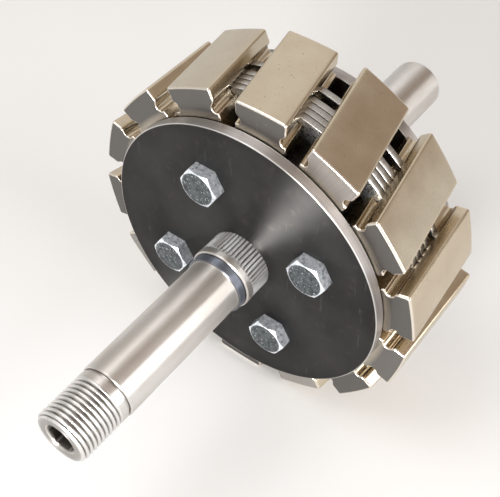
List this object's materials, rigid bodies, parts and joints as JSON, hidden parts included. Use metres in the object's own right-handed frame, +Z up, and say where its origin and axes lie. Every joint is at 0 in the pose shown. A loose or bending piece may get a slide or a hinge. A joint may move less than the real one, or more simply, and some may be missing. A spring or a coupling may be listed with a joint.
{
  "type": "permanent magnet alternator rotor",
  "caption": "Rotor of a permanent magnet alternator: a threaded, splined shaft through a drum of skewed plated pole magnets held between two bolted steel discs.",
  "frame": {"origin": "on the shaft axis, halfway along the drive-end bearing journal", "axes": "+Y along the shaft from the threaded nose to the rear stub, +Z up with a magnet at the top and one at the bottom, +X to the right seen from the nose"},
  "size_m": [0.1102, 0.1744, 0.1088],
  "materials": {
    "shaft_steel": "ground",
    "disc_steel": "polished face, turned rim",
    "plate_steel": "stamped",
    "magnet_plating": "bright nickel plated",
    "fastener_zinc": "bright zinc plated"
  },
  "bodies": {
    "root": {"shaft": "shaft_steel", "front_disc": "disc_steel", "rear_disc": "disc_steel", "core_plate_1": "plate_steel", "core_plate_2": "plate_steel", "core_plate_3": "plate_steel", "core_plate_4": "plate_steel", "core_plate_5": "plate_steel", "spacer_1": "plate_steel", "spacer_2": "plate_steel", "spacer_3": "plate_steel", "magnet_01": "magnet_plating", "magnet_02": "magnet_plating", "magnet_03": "magnet_plating", "magnet_04": "magnet_plating", "magnet_05": "magnet_plating", "magnet_06": "magnet_plating", "magnet_07": "magnet_plating", "magnet_08": "magnet_plating", "magnet_09": "magnet_plating", "magnet_10": "magnet_plating", "magnet_11": "magnet_plating", "magnet_12": "magnet_plating", "magnet_13": "magnet_plating", "magnet_14": "magnet_plating", "bolt_1": "fastener_zinc", "bolt_2": "fastener_zinc", "bolt_3": "fastener_zinc", "bolt_4": "fastener_zinc", "nut_1": "fastener_zinc", "nut_2": "fastener_zinc", "nut_3": "fastener_zinc", "nut_4": "fastener_zinc"}
  },
  "joints": []
}
